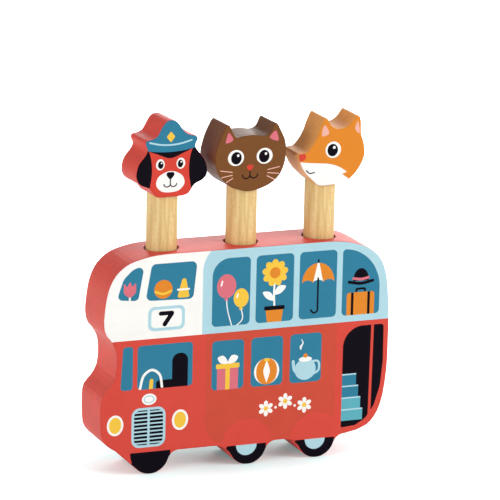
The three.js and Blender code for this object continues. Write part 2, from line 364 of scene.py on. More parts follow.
def board_outline(node, to_frame):
    """A board's outline and thickness: the closed line of edges where its front round-over ends."""
    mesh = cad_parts[node].data
    to_board = to_frame.inverted()
    points = [to_board @ v.co / MM for v in mesh.vertices]
    depth = -min(p.y for p in points)
    on_line = [abs(p.y + depth - EDGE_ROUND) < ON_LINE for p in points]
    beside = {}
    for edge in mesh.edges:
        a, b = edge.vertices
        if on_line[a] and on_line[b]:
            start, end = [(round(points[v].x, 3), round(points[v].z, 3)) for v in (a, b)]
            if start != end:
                beside.setdefault(start, set()).add(end)
                beside.setdefault(end, set()).add(start)
    first = min(beside)
    line = [first, min(beside[first])]
    while True:
        following = [p for p in beside[line[-1]] if p != line[-2]]
        if following[0] == first:
            break
        line.append(following[0])
    if signed_area(line) < 0:
        line.reverse()
    return line, 2 * depth


def around(points):
    """Each point of a closed line with the next one."""
    return zip(points, points[1:] + points[:1])


def signed_area(points):
    """The area inside a closed line, less than 0 if it runs clockwise."""
    return sum(a[0] * b[1] - b[0] * a[1] for a, b in around(points)) / 2


def divided(points):
    """The closed line with its long straight stretches divided."""
    made = []
    for start, end in around(points):
        pieces = max(1, math.ceil(math.dist(start, end) / LONGEST_STRETCH))
        for k in range(pieces):
            made.append(tuple(a + (b - a) * k / pieces for a, b in zip(start, end)))
    return made


def inset(points, distance):
    """A closed line moved inwards by that distance."""
    line = np.array(points)
    along = np.roll(line, -1, axis=0) - np.roll(line, 1, axis=0)
    along /= np.linalg.norm(along, axis=1, keepdims=True)
    inward = np.column_stack([-along[:, 1], along[:, 0]])
    return line + inward * distance


def place_on(line, point):
    """Where a point lies on a closed line: the number of the stretch and the share along it."""
    ends = np.roll(line, -1, axis=0)
    span = ends - line
    share = np.clip(((point - line) * span).sum(1) / (span**2).sum(1), 0, 1)
    away = np.linalg.norm(line + span * share[:, None] - point, axis=1)
    nearest = int(away.argmin())
    return nearest, share[nearest]


def between(line, place):
    """The point at such a place on the line."""
    stretch, share = place
    return line[stretch] * (1 - share) + line[(stretch + 1) % len(line)] * share


def edge_loop(triangles):
    """The outer edge of a sheet of triangles, as a closed loop of vertex numbers."""
    edges = {edge for t in triangles for edge in around(t)}
    following = {a: b for a, b in edges if (b, a) not in edges}
    loop = [min(following)]
    while following[loop[-1]] != loop[0]:
        loop.append(following[loop[-1]])
    return loop


def print_triangles(inner, layout):
    """A board's flat face cut along its print: the points, and the triangles with their colours."""
    points, areas = [], []
    for shape in [inner.tolist()] + [shape for _, _, shape, _ in layout.layers[1:]]:
        shape = shape if signed_area(shape) > 0 else shape[::-1]
        areas.append(list(range(len(points), len(points) + len(shape))))
        points.extend(Vector(p) for p in shape)
    cut_up = delaunay_2d_cdt(points, [], areas, INSIDE_ONLY, CUT_TOLERANCE, True)
    flat, _, triangles, _, _, sources = cut_up
    return flat, [(list(t), layout.colours(s)) for t, s in zip(triangles, sources) if 0 in s]


def round_over(inside, outside, face_y):
    """The rings of both round-overs, from the front face to the back one, as places and normals."""
    angles = [math.pi / 2 * k / EDGE_STEPS for k in range(1, EDGE_STEPS + 1)]
    rings = []
    for side, order in ((-1, angles), (1, angles[::-1])):
        for angle in order:
            y = side * (face_y - EDGE_ROUND * (1 - math.cos(angle)))
            ring = []
            for a, b in zip(inside, outside):
                x, z = a + (b - a) * math.sin(angle)
                out_x, out_z = (b - a) / np.linalg.norm(b - a) * math.sin(angle)
                ring.append(((x, y, z), (out_x, side * math.cos(angle), out_z)))
            rings.append(ring)
    return rings


def painted_board(name, node, to_frame, layout, side_colour):
    """A board like the CAD node, with the print on both of its faces, and its outline."""
    line, thickness = board_outline(node, to_frame)
    outer = np.array(smooth_curve(divided(line), OUTLINE_SPACING))
    inner = inset(outer, EDGE_ROUND)
    flat, kept = print_triangles(inner, layout)
    palette = sorted({side_colour} | {colour for _, pair in kept for colour in pair})
    shape = bmesh.new()
    used = sorted({v for t, _ in kept for v in t})
    face_y = thickness / 2
    vertex_normals = []

    def vertex(place, normal):
        vertex_normals.append(normal)
        return shape.verts.new(place)

    def paint_face(corners, colour):
        face = shape.faces.new(corners)
        face.material_index = palette.index(colour)
        face.smooth = True

    front = {v: vertex((flat[v].x, -face_y, flat[v].y), (0, -1, 0)) for v in used}
    back = {v: vertex((flat[v].x, face_y, flat[v].y), (0, 1, 0)) for v in used}
    for corners, (front_colour, back_colour) in kept:
        paint_face([front[v] for v in corners], front_colour)
        paint_face([back[v] for v in reversed(corners)], back_colour)

    beside = {edge: pair for corners, pair in kept for edge in around(corners)}
    loop = edge_loop([t for t, _ in kept])
    places = [place_on(inner, np.array(flat[v])) for v in loop]
    inside = [between(inner, p) for p in places]
    outside = [between(outer, p) for p in places]
    rings = [[front[v] for v in loop]]
    for ring in round_over(inside, outside, face_y):
        rings.append([vertex(place, normal) for place, normal in ring])
    rings.append([back[v] for v in loop])
    last = len(rings) - 1
    for strip in range(last):
        near, far = rings[strip], rings[strip + 1]
        for k in range(len(loop)):
            n = (k + 1) % len(loop)
            front_colour, back_colour = beside[loop[k], loop[n]]
            colour = side_colour
            if strip < PRINT_WRAP:
                colour = front_colour
            elif strip >= last - PRINT_WRAP:
                colour = back_colour
            paint_face((near[n], near[k], far[k], far[n]), colour)
    shape.verts.index_update()
    mesh = finished(name, shape)
    mesh.transform(Matrix.Scale(MM, 4))
    keep_shading(mesh, [vertex_normals[corner.vertex_index] for corner in mesh.loops])
    return new_piece(name, mesh, [PAINTS[colour] for colour in palette]), outer


# Materials

def linear(colour, gain=1.0):
    """A hex colour as linear red, green, blue and alpha."""
    made = []
    for i in (1, 3, 5):
        c = int(colour[i:i + 2], 16) / 255
        c = c / 12.92 if c < 0.04045 else ((c + 0.055) / 1.055) ** 2.4
        made.append(min(1, gain * c))
    return made + [1]


class Nodes:
    """The nodes of a material or a world."""

    def __init__(self, owner):
        owner.use_nodes = True
        self.tree = owner.node_tree
        self.nodes = self.tree.nodes

    def node(self, kind, inputs=None, **settings):
        made = self.nodes.new(kind)
        for key, value in settings.items():
            setattr(made, key, value)
        for key, value in (inputs or {}).items():
            self.feed(made.inputs[key], value)
        return made

    def feed(self, socket, value):
        """Links the socket to the value, if that is a socket too, or sets it."""
        if isinstance(value, bpy.types.NodeSocket):
            self.tree.links.new(value, socket)
        else:
            socket.default_value = value


class Finish(Nodes):
    """A node material, built up from its shader backwards."""

    def __init__(self, name):
        self.material = bpy.data.materials.new(name)
        super().__init__(self.material)
        self.shader = self.nodes["Principled BSDF"]
        self.place = self.node("ShaderNodeTexCoord").outputs["Object"]

    def set(self, **values):
        for key, value in values.items():
            self.feed(self.shader.inputs[key.replace("_", " ")], value)

    def noise(self, stretch, detail, roughness=0.55):
        """Noise from 0 to 1, with that many features to the metre along each axis."""
        spread = self.node("ShaderNodeMapping", {"Vector": self.place, "Scale": stretch})
        inputs = {"Vector": spread.outputs[0], "Scale": 1.0, "Detail": detail, "Roughness": roughness}
        return self.node("ShaderNodeTexNoise", inputs).outputs["Fac"]

    def ramp(self, factor, *stops):
        """A colour ramp. Each stop is a place and a colour."""
        made = self.node("ShaderNodeValToRGB", {"Fac": factor})
        elements = made.color_ramp.elements
        while len(elements) < len(stops):
            elements.new(0.5)
        for element, (where, colour) in zip(elements, stops):
            element.position = where
            element.color = colour
        return made.outputs["Color"]

    def spread(self, factor, low, high):
        """The factor's usual middle stretch, mapped to run from low to high."""
        inputs = {"Value": factor, "From Min": 0.3, "From Max": 0.7, "To Min": low, "To Max": high}
        return self.node("ShaderNodeMapRange", inputs).outputs[0]

    def total(self, first, second, share):
        """The first plus a share of the second."""
        inputs = {0: second, 1: share, 2: first}
        return self.node("ShaderNodeMath", inputs, operation="MULTIPLY_ADD").outputs[0]

    def bump(self, height, depth, strength):
        """Relief from that height factor, with its depth in millimetres."""
        inputs = {"Height": height, "Distance": depth * MM, "Strength": strength}
        self.set(Normal=self.node("ShaderNodeBump", inputs).outputs[0])


def ink(name, colour):
    """Matte ink of the print, even but for faint clouds, with a little of the wood's relief."""
    finish = Finish(name)
    streaks = finish.noise(BOARD_GRAIN, detail=5, roughness=0.6)
    clouds = finish.noise(INK_CLOUDS, detail=3)
    tone = finish.total(clouds, streaks, 0.5)
    shades = [(0.45, linear(colour, 0.965)), (1.0, linear(colour, 1.035))]
    finish.set(Base_Color=finish.ramp(tone, *shades))
    finish.set(Roughness=finish.spread(clouds, 0.5, 0.58), Specular_IOR_Level=INK_GLOSS)
    finish.bump(streaks, 0.02, 0.5)
    return finish.material


def paint(name, colour, grain):
    """Satin paint on wood. The wood's grain, along X, shows through a little in colour and relief."""
    finish = Finish(name)
    streaks = finish.noise(BOARD_GRAIN, detail=5, roughness=0.6)
    clouds = finish.noise(PAINT_CLOUDS, detail=2)
    peel = finish.noise(PAINT_PEEL, detail=1)
    tone = finish.total(streaks, clouds, 0.5)
    dark, light = linear(colour, 1 - 0.07 * grain), linear(colour, 1 + 0.08 * grain)
    finish.set(Base_Color=finish.ramp(tone, (0.45, dark), (0.75, linear(colour)), (1.0, light)))
    finish.set(Roughness=finish.spread(streaks, 0.44, 0.54), Specular_IOR_Level=PAINT_GLOSS)
    finish.bump(finish.total(streaks, peel, 0.35), 0.05 * grain, 0.6)
    return finish.material


def bare_wood():
    """Pale turned wood with its grain along Z: fine pores, soft streaks and faint growth rings."""
    finish = Finish("bare_wood")
    inputs = {"Vector": finish.place, "Location": (0.013, 0.021, 0)}
    off_centre = finish.node("ShaderNodeMapping", inputs).outputs[0]
    inputs = {"Vector": off_centre, "Scale": 60, "Distortion": 4, "Detail": 3, "Detail Scale": 0.6}
    wave = finish.node("ShaderNodeTexWave", inputs, wave_type="RINGS", rings_direction="Z")
    streaks = finish.noise(PEG_GRAIN, detail=4)
    pores = finish.noise(PEG_PORES, detail=4, roughness=0.7)
    tone = finish.total(finish.total(streaks, wave.outputs["Fac"], 0.08), pores, 0.6)
    shades = [linear(colour) for colour in WOOD_SHADES]
    finish.set(Base_Color=finish.ramp(tone, *zip((0.62, 0.84, 1.0), shades)))
    finish.set(Roughness=finish.spread(streaks, 0.5, 0.6), Specular_IOR_Level=WOOD_GLOSS)
    finish.bump(finish.total(streaks, pores, 0.7), 0.04, 0.6)
    return finish.material


def spring_steel():
    """Drawn steel wire."""
    finish = Finish("spring_steel")
    drawn = finish.noise(WIRE_GRAIN, detail=3)
    shades = [linear(colour) for colour in STEEL_SHADES]
    finish.set(Base_Color=finish.ramp(drawn, *zip((0.3, 0.7), shades)))
    finish.set(Roughness=finish.spread(drawn, 0.22, 0.36), Metallic=1.0)
    finish.bump(drawn, 0.01, 0.5)
    return finish.material


PAINTS = {name: ink(f"ink_{name}", colour) for name, colour in COLOURS.items()}
PAINTS |= {name: paint(f"paint_{name}", *made) for name, made in SIDE_PAINTS.items()}
WOOD = bare_wood()
STEEL = spring_steel()


# The bus's print

DECK_Z = 90.3  # the lower edge of the upper deck's panels
FAR = 130  # past the bus's front and its rear
ABOVE = 169  # past its roof


def flower(x, z, radius, petals):
    """Petals round a middle, as separate shapes."""
    made = []
    for k in range(petals):
        angle = 90 + 360 * k / petals
        px = x + radius * math.cos(math.radians(angle))
        pz = z + radius * math.sin(math.radians(angle))
        made.append(ellipse(px, pz, radius * 0.62, radius * 0.44, angle))
    return made


def upper_front(art):
    """White panel with two panes of unlike width, and a plate with a plain number."""
    art.add("white", box(-FAR, DECK_Z, 0, ABOVE))
    pane = [(-90, 117.5), (-75.5, 116), (-71.5, 139), (-79, 137), (-85.5, 131)]
    quarter = art.add("teal", rounded(pane, [3, 3, 3, 9, 10]))
    art.add("white", stroke([(-81.2, 112), (-81.2, 121)], 1.3), quarter)
    tulip = [(-85.4, 129), (-85.4, 121.6), (-81.2, 118), (-77, 121.6)]
    tulip += [(-77, 129), (-79.3, 125.4), (-81.2, 129.4), (-83.1, 125.4)]
    art.add("pink", rounded(tulip, [0.5, 3, 2.4, 3, 0.5, 0.5, 0.5, 0.5]), quarter)
    pane = [(-70.5, 115.6), (-38, 114.6), (-35.5, 139.4), (-66.5, 139.4)]
    wide = art.add("teal", rounded(pane, 3.5))
    art.add("orange", ellipse(-58.5, 122.4, 6.2), wide)
    art.add("yellow", stroke([(-63.8, 121), (-58.5, 119.4), (-53.2, 121)], 1.6), wide)
    art.add("yellow", rounded([(-49, 116), (-40.5, 116), (-44.2, 134)], [1.2, 1.2, 1.6]), wide)
    art.add("white", stroke([(-48.6, 121.4), (-41, 121.4)], 1.3), wide)
    plate_x = -56
    art.add("light_blue", box(plate_x - 12.5, 95.2, plate_x + 12.5, 111.2, 4))
    art.add("white", box(plate_x - 10.4, 97.2, plate_x + 10.4, 109.2, 2.6))
    number = [stroke([(-60, 106.5), (-52.3, 106.5)], 2.8, curved=False)]
    number.append(stroke([(-52.5, 106.1), (-57.2, 99.3)], 3, curved=False))
    for shape in number:
        art.add("black", shape, face="front")
    for shape in flipped(number, plate_x):
        art.add("black", shape, face="back")


def upper_side(art):
    """Light-blue panel with balloons, a potted flower, an umbrella, and a hat on a case."""
    panel = [(-31.5, DECK_Z), (FAR, DECK_Z), (FAR, ABOVE), (-31.5, 148)]
    art.add("light_blue", rounded(panel, [0, 0, 0, 18]))
    low, high = 94.6, 139.6
    first = art.add("teal", box(-25, low, 1.2, high, [3, 3, 3, 12]))
    for x, z, rx, rz, colour in ((-15.2, 121, 6.6, 8, "pink"), (-5, 112.5, 5.2, 6.3, "yellow")):
        foot = z - rz
        art.add("white", stroke([(x, foot), (x + 1, foot - 8), (-10.6, low - 2)], 0.7), first)
        knot = [(x - 1.5, foot - 1.4), (x + 1.5, foot - 1.4), (x, foot + 1.5)]
        art.add(colour, rounded(knot, 0.3), first)
        art.add(colour, ellipse(x, z, rx, rz), first)
        art.add("white", stroke([(x - rx * 0.55, z + 0.6), (x - rx * 0.45, z + rz * 0.42)], 1.1), first)

    second = art.add("teal", box(5.2, low, 31.4, high, 3))
    art.add("white", stroke([(18.3, 104), (17.8, 114), (18.3, 124)], 1.3), second)
    art.add("white", blob((18, 109), (13, 110.4), (10, 115), (15.2, 114.6)), second)
    art.add("white", blob((18, 113), (22.6, 113.6), (26, 118), (20.8, 118.4)), second)
    for petal in flower(18.3, 127.4, 5.6, 9):
        art.add("yellow", petal, second)
    art.add("orange", ellipse(18.3, 127.4, 3.7), second)
    art.add("orange", rounded([(13.6, low - 2), (23, low - 2), (24.6, 104), (12, 104)], 0.4), second)
    art.add("black", box(11.2, 102.6, 25.4, 105.4, 0.7), second)

    third = art.add("teal", box(35.4, low, 61.6, high, 3))
    art.add("black", stroke([(48.5, 133.5), (48.5, 102)], 1.2, curved=False), third)
    art.add("black", stroke([(48.5, 102), (48.2, 99.4), (45.8, 98.4), (43.8, 100.4)], 1.2), third)
    canopy = art.add("orange", arc(48.5, 118.4, 11.3, 13.2, 0, 180), third)
    art.add("white", rounded([(48.5, 134), (52.4, 117), (44.6, 117)], 0.2), canopy)
    for x in (41, 48.5, 56):
        art.add("teal", ellipse(x, 118.2, 3.75, 2.1), third)
    art.add("black", stroke([(48.5, 121.4), (48.5, 116)], 1.2, curved=False), third)

    pane = [(65.6, low), (92.2, low), (92.2, 118), (86.5, 130.5), (75.5, 138.2), (65.6, high)]
    fourth = art.add("teal", rounded(pane, [3, 3, 25, 25, 24, 2.5]))
    art.add("black", box(75, 109.2, 82.6, 112.8, 1.6), fourth)
    art.add("teal", box(76.3, 108, 81.3, 111.4, 0.9), fourth)
    art.add("orange", box(69, low - 2, 88.6, 109.8, 2), fourth)
    for x in (73, 84.6):
        art.add("black", box(x - 0.9, low - 2, x + 0.9, 109.8), fourth)
    art.add("black", arc(78.8, 117.4, 5.6, 8.4, 0, 180), fourth)
    art.add("black", stroke([(70.4, 117), (78.8, 115.6), (87.2, 117)], 2), fourth)
    art.add("pink", stroke([(73.6, 119.2), (78.8, 118.4), (84, 119.2)], 1.8), fourth)


def cab(art):
    """An empty cab, a radiator grille, two lamps and a bare badge."""
    art.add("teal", rounded([(-86.8, 57.4), (-78.4, 57.2), (-78.4, 86.2), (-85.2, 86.2)], 2.2))
    pane = art.add("teal", box(-75.4, 57, -37.6, 86.2, 2.6))
    art.add("black", box(-51.6, 50, -40.8, 79.4, [1, 1, 5, 5]), pane)
    art.add("black", box(-62.5, 50, -44, 62.4, 2.4), pane)
    rim = [(-73.6, 57), (-70.8, 66.4), (-65.4, 69.6), (-60.2, 66.2), (-58.4, 58)]
    art.add("white", stroke(rim, 1.7), pane)
    art.add("yellow", stroke([(-66, 57.6), (-65.6, 62.4)], 2.6), pane)
    art.add("white", ellipse(-67, 50.2, 5, 3.8))
    art.add("light_blue", ellipse(-67, 50.2, 3.7, 2.6))
    art.add("white", ellipse(-67, 50.2, 2.9, 1.9))
    art.add("light_blue", box(-78.8, 18.2, -55.6, 44.8, 5.5))
    low, high = 19.9, 43.1
    grille = art.add("black", box(-77.1, low, -57.3, high, 4))
    slats = 9
    for k in range(slats):
        z = low + (high - low) * (k + 0.5) / slats
        art.add("light_blue", box(-80, z - 0.5, -55, z + 0.5), grille)
    art.add("light_blue", box(-68, 19, -66.4, 44), grille)
    for x in (-90, -45.6):
        art.add("white", ellipse(x, 34.6, 5.6, 6.9))
        art.add("yellow", ellipse(x, 34.6, 4.1, 5.4))


def lower_side(art):
    """A darker panel with arches over the wheels, three windows and a row of plain flowers."""
    panel = art.add("panel_red", box(-28.6, 15.5, 62.6, DECK_Z, [15, 5, 0, 0]))
    for x in (1, 49.2):
        art.add("red", ellipse(x, 13.5, 17.4), panel)
    low, high = 52, 85
    first = art.add("teal", box(-24.4, low, -2.2, high, 3))
    art.add("pink", box(-20.6, low - 2, -6, 66.6, 0.8), first)
    art.add("yellow", box(-14.8, low - 2, -11.8, 66.6), first)
    art.add("yellow", box(-21.4, 66.2, -5.2, 69.4, 0.6), first)
    bow = ((0, 69.6), (5, 70), (7, 73.6), (3, 74.8))
    for side in (-1, 1):
        art.add("white", blob(*[(-13.3 + side * x, z) for x, z in bow]), first)

    second = art.add("teal", box(2.8, low, 25, high, 3))
    ball = art.add("white", ellipse(13.9, 61.8, 8.8), second)
    stripe = ((0, 71), (5.5, 68), (7.3, 61.8), (5.5, 55.6), (0, 52.6), (2.3, 61.8))
    for side in (-1, 1):
        art.add("orange", blob(*[(13.9 + side * x, z) for x, z in stripe]), ball)
    art.add("yellow", ellipse(13.9, 69.6, 2, 1.2), ball)

    third = art.add("teal", box(30, low, 52.2, high, 3))
    art.add("light_blue", stroke([(46.4, 66), (50, 65.4), (50.4, 59.6), (46.2, 57)], 1.5), third)
    art.add("light_blue", stroke([(36.4, 58), (33.4, 61), (32.4, 66.6)], 2.2), third)
    art.add("light_blue", ellipse(41, 60.8, 7.4, 7.2), third)
    art.add("white", ellipse(41, 67.6, 4.6, 1.7), third)
    art.add("orange", ellipse(41, 70, 1.5), third)
    steam = [(37.6, 74), (36.8, 76.4), (38.6, 78.6), (37.6, 81.6), (39.4, 78.8), (38.4, 76.4)]
    art.add("white", blob(*steam), third)

    for x, z in ((14, 36.6), (27.5, 40.4), (41, 36.6)):
        for petal in flower(x, z, 3.3, 6):
            art.add("white", petal)
        art.add("yellow", ellipse(x, z, 1.5))
    for x, z in ((20.8, 36.8), (34.2, 36.8)):
        art.add("white", ellipse(x, z, 0.9))


def rear_platform(art):
    """A dark doorway with stairs and a pole."""
    opening = [(67.4, 18.6), (77.5, 19.4), (84.5, 23.4), (90.6, 32)]
    opening += [(94.6, 45), (96.2, 62), (96, 87), (67.4, 87)]
    door = art.add("black", rounded(opening, [1, 4, 8, 12, 16, 16, 2, 14]))
    rises = [(55, "teal"), (47, "teal"), (39, "step_teal"), (31, "step_teal")]
    for k, (z, colour) in enumerate(rises):
        end = 77.4 + 1.7 * k
        art.add(colour, box(60, z - 8, end, z), door)
        art.add("light_blue", box(60, z - 1, end, z), door)
    art.add("red", stroke([(88.6, FAR), (87.2, 10)], 1.9, curved=False), door)


def wheels(art):
    """Half wheels on the bumps under the belly."""
    tyre = 13.8
    for x, z, hub in ((-65.7, 15, 0), (0.9, 13.4, 7.2), (49.1, 12.9, 7.1)):
        art.add("black", arc(x, z, tyre, z + 1, 180, 360))
        if hub:
            art.add("light_blue", arc(x, z, hub, hub, 180, 360))


def bus_print():
    art = Print("red")
    upper_front(art)
    upper_side(art)
    cab(art)
    lower_side(art)
    rear_platform(art)
    wheels(art)
    return art


# The heads' prints, each drawn from the middle of the dowel and the foot of the head

def eye(art, ball, pupil, glint):
    """Three ellipses, each over the one before."""
    for colour, shape in (("white", ball), ("black", pupil), ("white", glint)):
        art.add(colour, ellipse(*shape))


def mouth(art, z, radius_x, radius_z):
    """Two small curves side by side."""
    for side in (-1, 1):
        curve = arc(side * radius_x, z, radius_x, radius_z, 180, 360)
        art.add("black", stroke(curve, 0.8, curved=False))


def dog_print():
    art = Print("dog_red")
    ear = open_curve((30, 0), (16, 2.6), (13.6, 10), (12.8, 18), (13.6, 26), (16.2, 34)) + [(30, 36)]
    for side in (-1, 1):
        art.add("black", [(side * x, z) for x, z in ear])
    muzzle = [(0, 3.2), (6.4, 4.4), (9.8, 8.6), (8.4, 13.4), (4, 16.2)]
    muzzle += [(0, 17), (-4, 16.2), (-8.4, 13.4), (-9.8, 8.6), (-6.4, 4.4)]
    art.add("white", blob(*muzzle))
    art.add("black", rounded([(0, 10.9), (4.4, 16.4), (-4.4, 16.4)], [1.4, 1.5, 1.5]))
    art.add("black", stroke([(0, 12), (0, 8.6)], 0.8))
    mouth(art, 8.6, 2.2, 1.8)
    for side in (-1, 1):
        x = side * 6.8
        eye(art, (side * 7.1, 21.6, 3, 3.6), (x, 21.4, 1.9, 2.5), (x + 0.6, 22.5, 0.6))
    art.add("black", blob((-15, 31), (-9, 28.4), (0, 25.4), (9, 28.4), (15, 31), (0, 31.5)))
    brim = open_curve((-20, 31.8), (-10, 30), (0, 29.4), (10, 30), (20, 31.8))
    art.add("teal", [(-30, 60), (-30, 33)] + brim + [(30, 33), (30, 60)])
    art.add("light_blue", stroke([(-14.4, 36.2), (-7, 34.5), (0, 34), (7, 34.5), (14.4, 36.2)], 1.1))
    art.add("yellow", rounded([(0, 35.6), (3, 39.2), (0, 42.8), (-3, 39.2)], 0.6))
    return art


def cat_print():
    art = Print("brown")
    art.add("pink", blob((-17.2, 32.6), (-12.2, 34.4), (-13.9, 38), (-15.2, 39.4)))
    art.add("pink", blob((13.4, 34.4), (19.4, 32), (18.7, 36.6), (17.5, 38.6)))
    whiskers = [[(12.4, 13.4), (20.6, 14.8)], [(12.4, 11.4), (20, 10.4)], [(12, 9.4), (17.8, 6.3)]]
    for side in (-1, 1):
        x = side * 9.7
        eye(art, (side * 10, 22.6, 5.6, 5.2), (x, 22.4, 3.7, 4.1), (x + 1.2, 24, 0.9))
        for whisker in whiskers:
            art.add("pale_pink", stroke([(side * x, z) for x, z in whisker], 0.6))
    art.add("dog_red", rounded([(0, 12.8), (3.6, 17.4), (-3.6, 17.4)], [1.1, 1.3, 1.3]))
    art.add("black", stroke([(0, 13.4), (0, 11)], 0.8))
    mouth(art, 11, 2.6, 2.4)
    return art


def fox_print():
    art = Print("orange")
    cheek = open_curve((-26, 18.6), (-17, 16.4), (-8, 15.4), (1, 14.4), (8, 12), (13.4, 8.4))
    art.add("white", cheek + [(10, 7.2), (15.4, 3.4), (15.4, -6), (-28, -6)])
    art.add("dog_red", ellipse(-19, 20.2, 3.6, 2.7, -10))
    art.add("black", stroke([(-15.2, 11), (-12.6, 9), (-9.4, 9.4)], 0.8))
    eye(art, (3.4, 23.6, 5.4, 5.4), (3, 23.4, 3.7, 4.1), (4.1, 25.1, 1))
    art.add("pale_pink", blob((-4.6, 33), (0, 34.4), (-1.4, 38.6), (-3.2, 40.2)))
    art.add("pale_pink", blob((18.4, 36.6), (21.4, 33.4), (21.2, 38.4), (20.2, 41.4)))
    return art


# Each animal's print and the paint of its head's sides
ANIMALS = {
    "dog": (dog_print, "side_dog_red"),
    "cat": (cat_print, "side_brown"),
    "fox": (fox_print, "side_orange"),
}


# Pieces

def centre_of(node):
    """Where the middle of a CAD node lies along X."""
    low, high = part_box(node)
    return (low.x + high.x) / 2


def peg_radius(animal):
    low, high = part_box(f"{animal}_dowel")
    return (high.x - low.x) / MM / 2


def bore_cutter(centre_x, floor_z, radius, roof):
    """What a bore takes out of the block. The rounding of its mouth follows the roof's own curve."""
    roof_z = roof(centre_x)
    mouth_z = roof_z - MOUTH_ROUND
    profile = [(0, floor_z), (radius, floor_z)]
    profile += [(radius, floor_z + WALL_HOLD), (radius, mouth_z - WALL_HOLD)]
    for k in range(MOUTH_STEPS + 1):
        angle = MOUTH_SWEEP * k / MOUTH_STEPS
        out = radius + MOUTH_ROUND * (1 - math.cos(angle))
        profile.append((out, mouth_z + MOUTH_ROUND * math.sin(angle)))
    edge, height = profile[-1]
    top_z = height + CUTTER_RISE * math.tan(math.pi / 2 - MOUTH_SWEEP)
    profile += [(edge + CUTTER_RISE, top_z), (0, top_z)]
    cutter = lathe("bore_cutter", profile, PAINTS["bore_red"], inside=True)
    for vertex in cutter.data.vertices:
        if vertex.co.z > mouth_z - 2 * WALL_HOLD:
            vertex.co.z += roof(centre_x + vertex.co.x) - roof_z
        vertex.co.x += centre_x
    cutter.data.transform(Matrix.Scale(MM, 4))
    return cutter


def make_bus():
    """The block with its print, and a bore under each peg down to its spring's foot."""
    bus, outer = painted_board("bus_block", "bus_body", Matrix.Identity(4), bus_print(), "side_red")
    top = outer[outer[:, 1] > ROOF_FROM]
    top = top[top[:, 0].argsort()]

    def roof(x):
        return float(np.interp(x, top[:, 0], top[:, 1]))

    for animal in ANIMALS:
        x = centre_of(f"{animal}_spring") / MM
        floor_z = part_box(f"{animal}_spring")[0].z / MM - REST_GAP
        cut(bus, bore_cutter(x, floor_z, peg_radius(animal) + BORE_GAP, roof))
        keep_shading(bus.data, [n.vector for n in bus.data.corner_normals])
    bus.data.attributes.remove(bus.data.attributes["shading"])
    return bus


def make_head(animal, layout, side_colour):
    """A head board with the blind socket that its dowel is glued into."""
    node = f"{animal}_head"
    to_frame = board_frame(node, centre_of(f"{animal}_dowel"))
    head, _ = painted_board(f"{animal}_head_board", node, to_frame, layout, side_colour)
    radius = peg_radius(animal) + REST_GAP
    depth = (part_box(f"{animal}_dowel")[1].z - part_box(node)[0].z) / MM + REST_GAP
    profile = [(0, -CUTTER_RISE), (radius, -CUTTER_RISE), (radius, depth), (0, depth)]
    cutter = lathe("socket_cutter", profile, PAINTS[side_colour], inside=True)
    cutter.data.transform(Matrix.Scale(MM, 4))
    cut(head, cutter)
    head.matrix_world = to_frame
    return head


def make_peg(animal):
    """A turned dowel with a well rounded foot."""
    low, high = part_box(f"{animal}_dowel")
    radius = peg_radius(animal)
    length = (high.z - low.z) / MM
    profile = [(0, 0), (radius - PEG_FOOT_ROUND - ROUND_HOLD, 0)]
    for k in range(PEG_FOOT_STEPS + 1):
        angle = math.pi / 2 * k / PEG_FOOT_STEPS
        out = radius - PEG_FOOT_ROUND * (1 - math.sin(angle))
        profile.append((out, PEG_FOOT_ROUND * (1 - math.cos(angle))))
    profile += [(radius, PEG_FOOT_ROUND + ROUND_HOLD), (radius, length - PEG_TOP_ROUND - ROUND_HOLD)]
    for k in range(EDGE_STEPS + 1):
        angle = math.pi / 2 * k / EDGE_STEPS
        out = radius - PEG_TOP_ROUND * (1 - math.cos(angle))
        profile.append((out, length - PEG_TOP_ROUND * (1 - math.sin(angle))))
    profile += [(radius - PEG_TOP_ROUND - ROUND_HOLD, length), (0, length)]
    peg = lathe(f"{animal}_peg", profile, WOOD)
    peg.data.transform(Matrix.Scale(MM, 4))
    peg.location = (centre_of(f"{animal}_dowel"), 0, low.z)
    return peg


def spring_line(height, radius):
    """The wire's middle line with a side vector at each point: a straight end, a bend, a nearly flat
    curl, the active curls and the same again at the top."""
    bend = SPRING_WIRE
    low = SPRING_WIRE + bend
    end_pitch = SPRING_WIRE + SPRING_END_GAP
    active_rise = height - 2 * low - 2 * SPRING_END_CURLS * end_pitch
    curls = SPRING_ACTIVE_CURLS + 2 * SPRING_END_CURLS
    coil = []
    for k in range(curls * CURL_STEPS + 1):
        turn = k / CURL_STEPS
        in_low = min(turn, SPRING_END_CURLS)
        in_top = max(turn - SPRING_END_CURLS - SPRING_ACTIVE_CURLS, 0)
        in_active = turn - in_low - in_top
        z = low + (in_low + in_top) * end_pitch + in_active * active_rise / SPRING_ACTIVE_CURLS
        side = Vector((math.cos(math.tau * turn), math.sin(math.tau * turn), 0))
        coil.append((side * radius + Vector((0, 0, z)), side))

    def straight_end(start, side, inward, up):
        along = Vector((-side.y, side.x, 0)) * inward
        made = []
        for k in range(1, SPRING_BEND_STEPS + 1):
            angle = math.pi / 2 * k / SPRING_BEND_STEPS
            lift = Vector((0, 0, up * bend * (1 - math.cos(angle))))
            made.append((start + along * bend * math.sin(angle) + lift, side))
        made.append((made[-1][0] + Vector((0, 0, up * SPRING_WIRE)), side))
        return made

    foot = straight_end(*coil[0], -1, -1)
    top = straight_end(*coil[-1], 1, 1)
    return foot[::-1] + coil + top


